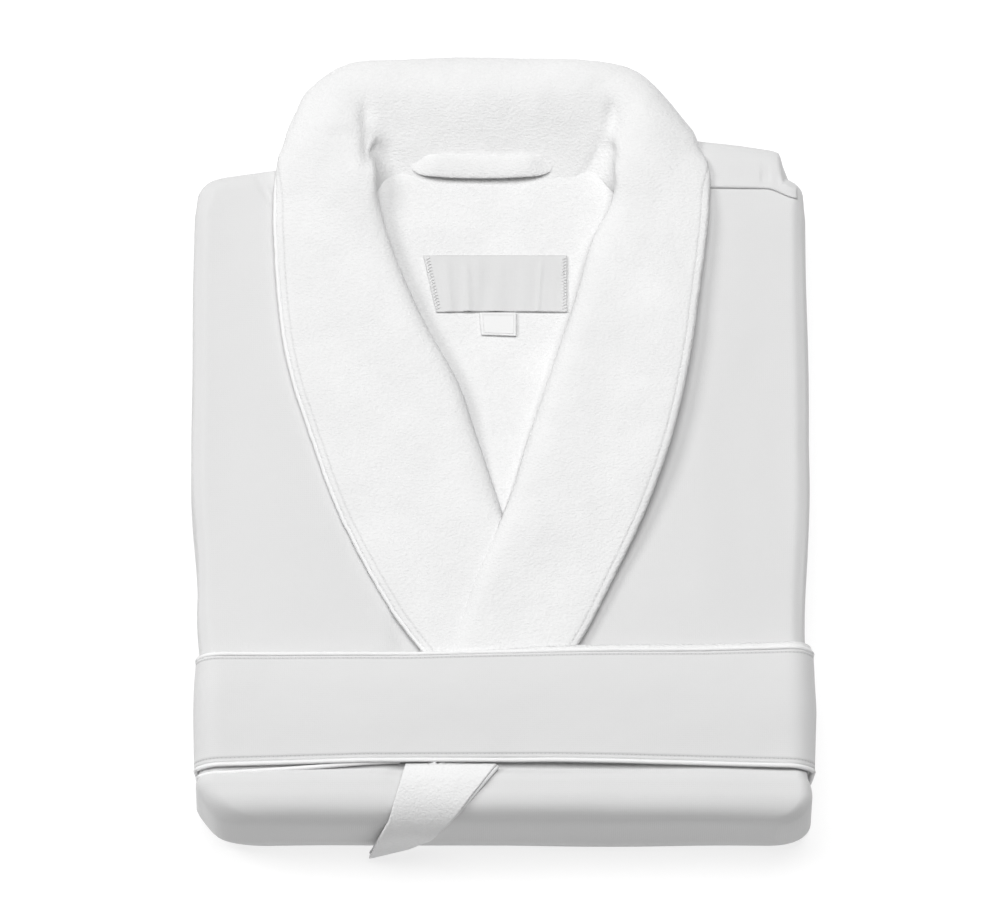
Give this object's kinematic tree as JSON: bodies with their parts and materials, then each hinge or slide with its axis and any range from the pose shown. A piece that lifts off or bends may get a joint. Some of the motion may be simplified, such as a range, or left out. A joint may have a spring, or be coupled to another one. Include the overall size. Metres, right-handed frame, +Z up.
{
  "type": "folded bathrobe",
  "caption": "Shawl-collar spa bathrobe with microfibre shell and terry lining, folded flat and wrapped in its piped sash belt.",
  "frame": {"origin": "on the resting surface, under the centre of the bounding box", "axes": "+X to the wearer's left, +Y along the folded robe towards its collar, +Z up, away from the resting surface"},
  "size_m": [0.3372, 0.4321, 0.0696],
  "materials": {
    "microfibre": "smooth brushed microfibre plain weave, matt with a faint sheen",
    "terry": "white sheared cotton terry, short loops, matt",
    "piping": "white bias-cut cotton over a thin cord",
    "label_satin": "pale grey woven satin, faint sheen",
    "tab_satin": "white woven satin tape"
  },
  "bodies": {
    "bundle": {"left_front_shell": "microfibre", "left_front_lining": "terry", "right_front_shell": "microfibre", "right_front_lining": "terry", "back_lining": "terry", "back_shell": "microfibre", "left_sleeve_shell": "microfibre", "right_sleeve_shell": "microfibre", "left_sleeve_lining": "terry", "right_sleeve_lining": "terry", "left_cuff": "terry", "right_cuff": "terry", "left_pocket": "microfibre", "right_pocket": "microfibre", "left_belt_loop": "microfibre", "right_belt_loop": "microfibre", "left_lapel": "terry", "left_under_collar": "microfibre", "right_lapel": "terry", "right_under_collar": "microfibre", "left_collar_piping": "piping", "right_collar_piping": "piping", "collar_back": "terry", "neck_label": "label_satin", "care_label": "tab_satin"},
    "size_tab": {"size_tab": "tab_satin"},
    "hanger_loop": {"hanger_loop": "terry"},
    "belt": {"belt_face": "microfibre", "belt_backing": "terry", "belt_inner_turn": "microfibre", "belt_front_piping": "piping", "belt_rear_piping": "piping", "belt_inner_piping": "piping"},
    "belt_tail": {"tail_terry": "terry", "tail_shell": "microfibre", "tail_piping": "piping"}
  },
  "joints": [
    {"name": "belt_pull_off", "type": "slide", "parent": "bundle", "child": "belt", "axis": [0, -1, 0], "range_m": [0, 0.12]},
    {"name": "belt_tail_lift", "type": "hinge", "parent": "belt", "child": "belt_tail", "pos_m": [-0.027, -0.1914, 0.0658], "axis": [-1, 0, 0], "range_deg": [0, 75]},
    {"name": "hanger_loop_swing", "type": "hinge", "parent": "bundle", "child": "hanger_loop", "pos_m": [-0.0105, 0.157, 0.0548], "axis": [1, 0, 0], "range_deg": [-35, 35]},
    {"name": "size_tab_flip", "type": "hinge", "parent": "bundle", "child": "size_tab", "pos_m": [-0.0019, 0.074, 0.0538], "axis": [-1, 0, 0], "range_deg": [0, 120]}
  ]
}
